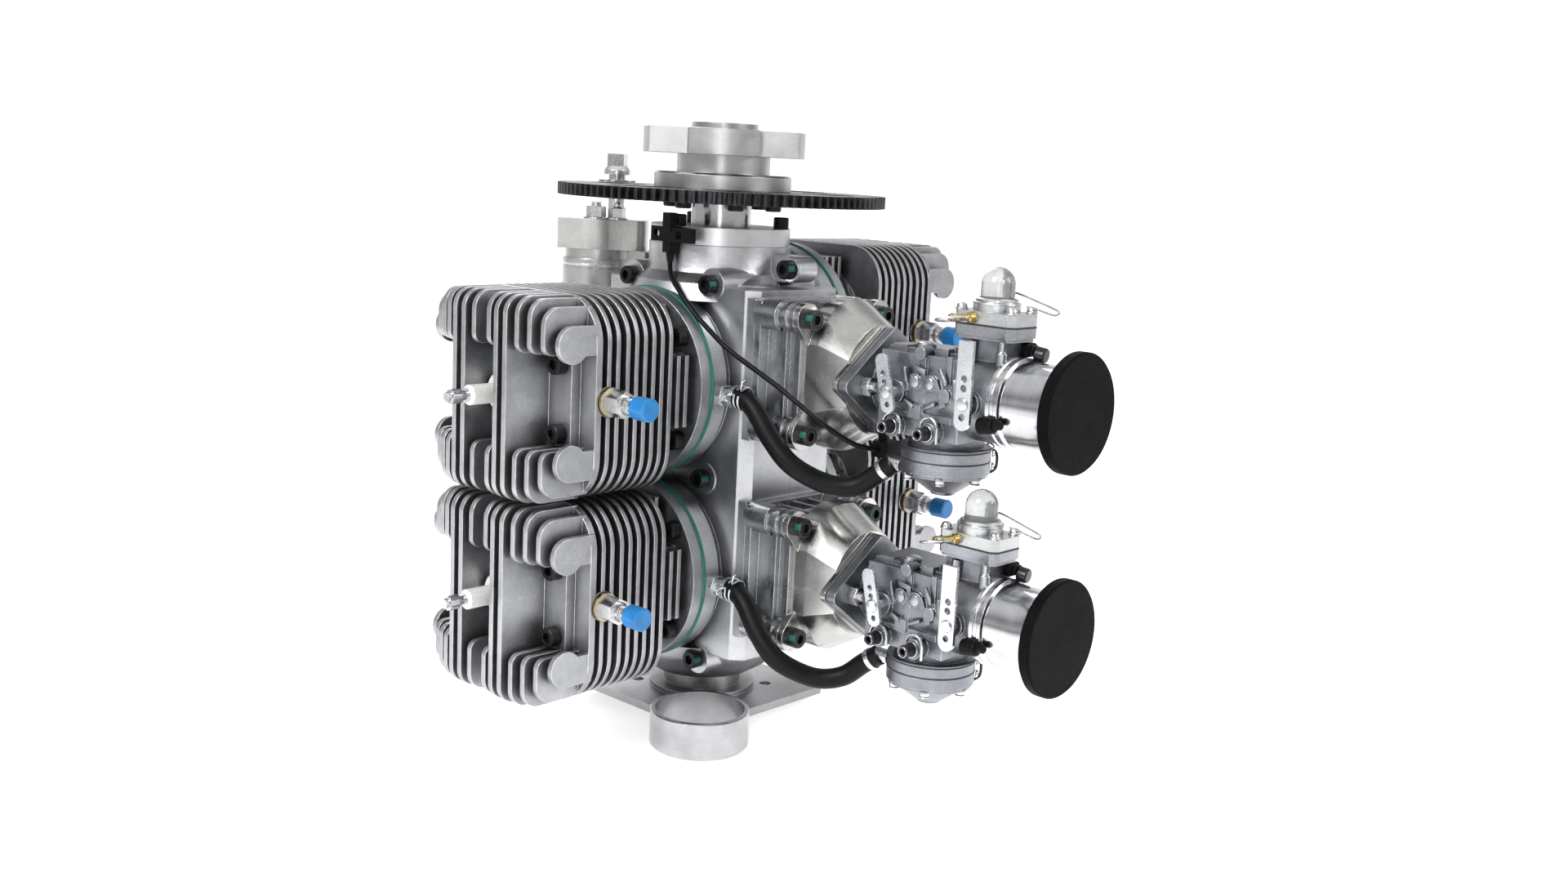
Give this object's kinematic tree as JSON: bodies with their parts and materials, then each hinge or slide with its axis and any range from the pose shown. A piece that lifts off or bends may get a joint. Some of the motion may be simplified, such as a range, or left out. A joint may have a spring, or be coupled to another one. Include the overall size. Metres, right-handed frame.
{
  "type": "four-cylinder opposed two-stroke aircraft engine",
  "caption": "Air-cooled opposed-piston-bank two-stroke engine with a vertical crankshaft, propeller flange, ring gear, starter, side carburettors and a rear mounting plate.",
  "frame": {"origin": "centre of the rear mounting plate's back face, on the crankshaft axis", "axes": "+Z along the crankshaft towards the propeller flange, -Y towards the carburettors, +X towards the right bank of cylinders"},
  "size_m": [0.357, 0.364, 0.3275],
  "materials": {
    "cast_case": "satin cast",
    "cast_fins": "satin cast, bright edges",
    "black_screws": "black oxide",
    "machined_alloy": "machined",
    "gasket": "teal fibre",
    "plug": "glazed ceramic and plated steel",
    "steel": "ground",
    "black_steel": "black oxide",
    "piston_alloy": "machined",
    "cast_grey": "die cast",
    "pump": "bright plated",
    "reed": "composite",
    "plated_steel": "zinc plated",
    "clear_dome": "clear",
    "black_plastic": "textured",
    "rubber": "satin",
    "blue_cap": "anodised blue"
  },
  "bodies": {
    "engine_block": {"crankcase_left": "cast_case", "crankcase_right": "cast_case", "case_bolts": "black_screws", "nose_cover": "machined_alloy", "mount_plate": "machined_alloy", "isolator_cups": "machined_alloy", "barrel_left_upper": "cast_fins", "barrel_left_lower": "cast_fins", "barrel_right_upper": "cast_fins", "barrel_right_lower": "cast_fins", "head_left_upper": "cast_fins", "head_left_lower": "cast_fins", "head_right_upper": "cast_fins", "head_right_lower": "cast_fins", "cylinder_bolts": "black_screws", "gaskets": "gasket", "spark_plugs": "plug", "main_bearings": "steel", "intake_housing_upper": "cast_grey", "intake_housing_lower": "cast_grey", "intake_fasteners": "black_screws", "reed_valves": "reed", "carb_adaptors": "machined_alloy", "carb_body_upper": "cast_grey", "carb_body_lower": "cast_grey", "pump_covers": "pump", "metering_covers": "cast_grey", "intake_trumpets": "machined_alloy", "intake_discs": "black_plastic", "impulse_hose_upper": "rubber", "impulse_hose_lower": "rubber", "hose_fittings": "plated_steel", "speed_sensor": "black_plastic", "sensor_cable": "rubber", "starter_motor": "cast_grey", "starter_bracket": "cast_grey", "decomp_valve_bodies": "plated_steel"},
    "crank": {"crankshaft": "steel", "prop_hub": "machined_alloy", "ring_gear": "black_steel", "hub_fasteners": "steel"},
    "piston_left_upper_body": {"piston_left_upper": "piston_alloy", "conrod_left_upper": "steel"},
    "piston_left_lower_body": {"piston_left_lower": "piston_alloy", "conrod_left_lower": "steel"},
    "piston_right_upper_body": {"piston_right_upper": "piston_alloy", "conrod_right_upper": "steel"},
    "piston_right_lower_body": {"piston_right_lower": "piston_alloy", "conrod_right_lower": "steel"},
    "throttle_upper_body": {"throttle_upper": "plated_steel"},
    "throttle_lower_body": {"throttle_lower": "plated_steel"},
    "choke_upper_body": {"choke_upper": "plated_steel"},
    "choke_lower_body": {"choke_lower": "plated_steel"},
    "primer_upper": {"primer_bulb_upper": "clear_dome"},
    "primer_lower": {"primer_bulb_lower": "clear_dome"},
    "starter_drive": {"starter_pinion": "steel"},
    "decomp_left_upper": {"decomp_button_left_upper": "blue_cap"},
    "decomp_left_lower": {"decomp_button_left_lower": "blue_cap"},
    "decomp_right_upper": {"decomp_button_right_upper": "blue_cap"},
    "decomp_right_lower": {"decomp_button_right_lower": "blue_cap"}
  },
  "joints": [
    {"name": "crank_spin", "type": "hinge", "parent": "engine_block", "child": "crank", "pos_m": [0, 0, 0.2], "axis": [0, 0, 1], "continuous": true},
    {"name": "starter_spin", "type": "hinge", "parent": "engine_block", "child": "starter_drive", "pos_m": [0.008, 0.09727, 0.28], "axis": [0, 0, 1], "continuous": true},
    {"name": "piston_left_upper_slide", "type": "slide", "parent": "engine_block", "child": "piston_left_upper_body", "axis": [-1, 0, 0], "range_m": [-0.02, 0.02]},
    {"name": "piston_left_lower_slide", "type": "slide", "parent": "engine_block", "child": "piston_left_lower_body", "axis": [-1, 0, 0], "range_m": [-0.02, 0.02]},
    {"name": "piston_right_upper_slide", "type": "slide", "parent": "engine_block", "child": "piston_right_upper_body", "axis": [1, 0, 0], "range_m": [-0.02, 0.02]},
    {"name": "piston_right_lower_slide", "type": "slide", "parent": "engine_block", "child": "piston_right_lower_body", "axis": [1, 0, 0], "range_m": [-0.02, 0.02]},
    {"name": "decomp_left_upper_press", "type": "slide", "parent": "engine_block", "child": "decomp_left_upper", "axis": [0, 1, 0], "range_m": [0, 0.004], "stiffness_N_per_m": 400, "springref_m": -0.002},
    {"name": "decomp_left_lower_press", "type": "slide", "parent": "engine_block", "child": "decomp_left_lower", "axis": [0, 1, 0], "range_m": [0, 0.004], "stiffness_N_per_m": 400, "springref_m": -0.002},
    {"name": "decomp_right_upper_press", "type": "slide", "parent": "engine_block", "child": "decomp_right_upper", "axis": [0, 1, 0], "range_m": [0, 0.004], "stiffness_N_per_m": 400, "springref_m": -0.002},
    {"name": "decomp_right_lower_press", "type": "slide", "parent": "engine_block", "child": "decomp_right_lower", "axis": [0, 1, 0], "range_m": [0, 0.004], "stiffness_N_per_m": 400, "springref_m": -0.002},
    {"name": "throttle_upper_turn", "type": "hinge", "parent": "engine_block", "child": "throttle_upper_body", "pos_m": [0, -0.1465, 0.1965], "axis": [1, 0, 0], "range_deg": [0, 75], "stiffness_Nm_per_rad": 0.05, "springref_deg": -17.19},
    {"name": "choke_upper_turn", "type": "hinge", "parent": "engine_block", "child": "choke_upper_body", "pos_m": [0, -0.1905, 0.1965], "axis": [-1, 0, 0], "range_deg": [0, 80]},
    {"name": "primer_upper_press", "type": "slide", "parent": "engine_block", "child": "primer_upper", "axis": [0, 0, -1], "range_m": [0, 0.003], "stiffness_N_per_m": 300, "springref_m": -0.001},
    {"name": "throttle_lower_turn", "type": "hinge", "parent": "engine_block", "child": "throttle_lower_body", "pos_m": [0, -0.1465, 0.0898], "axis": [1, 0, 0], "range_deg": [0, 75], "stiffness_Nm_per_rad": 0.05, "springref_deg": -17.19},
    {"name": "choke_lower_turn", "type": "hinge", "parent": "engine_block", "child": "choke_lower_body", "pos_m": [0, -0.1905, 0.0898], "axis": [-1, 0, 0], "range_deg": [0, 80]},
    {"name": "primer_lower_press", "type": "slide", "parent": "engine_block", "child": "primer_lower", "axis": [0, 0, -1], "range_m": [0, 0.003], "stiffness_N_per_m": 300, "springref_m": -0.001}
  ],
  "couplings": [
    {"joint": "starter_spin", "follows": "crank_spin", "ratio": -9.1667}
  ]
}
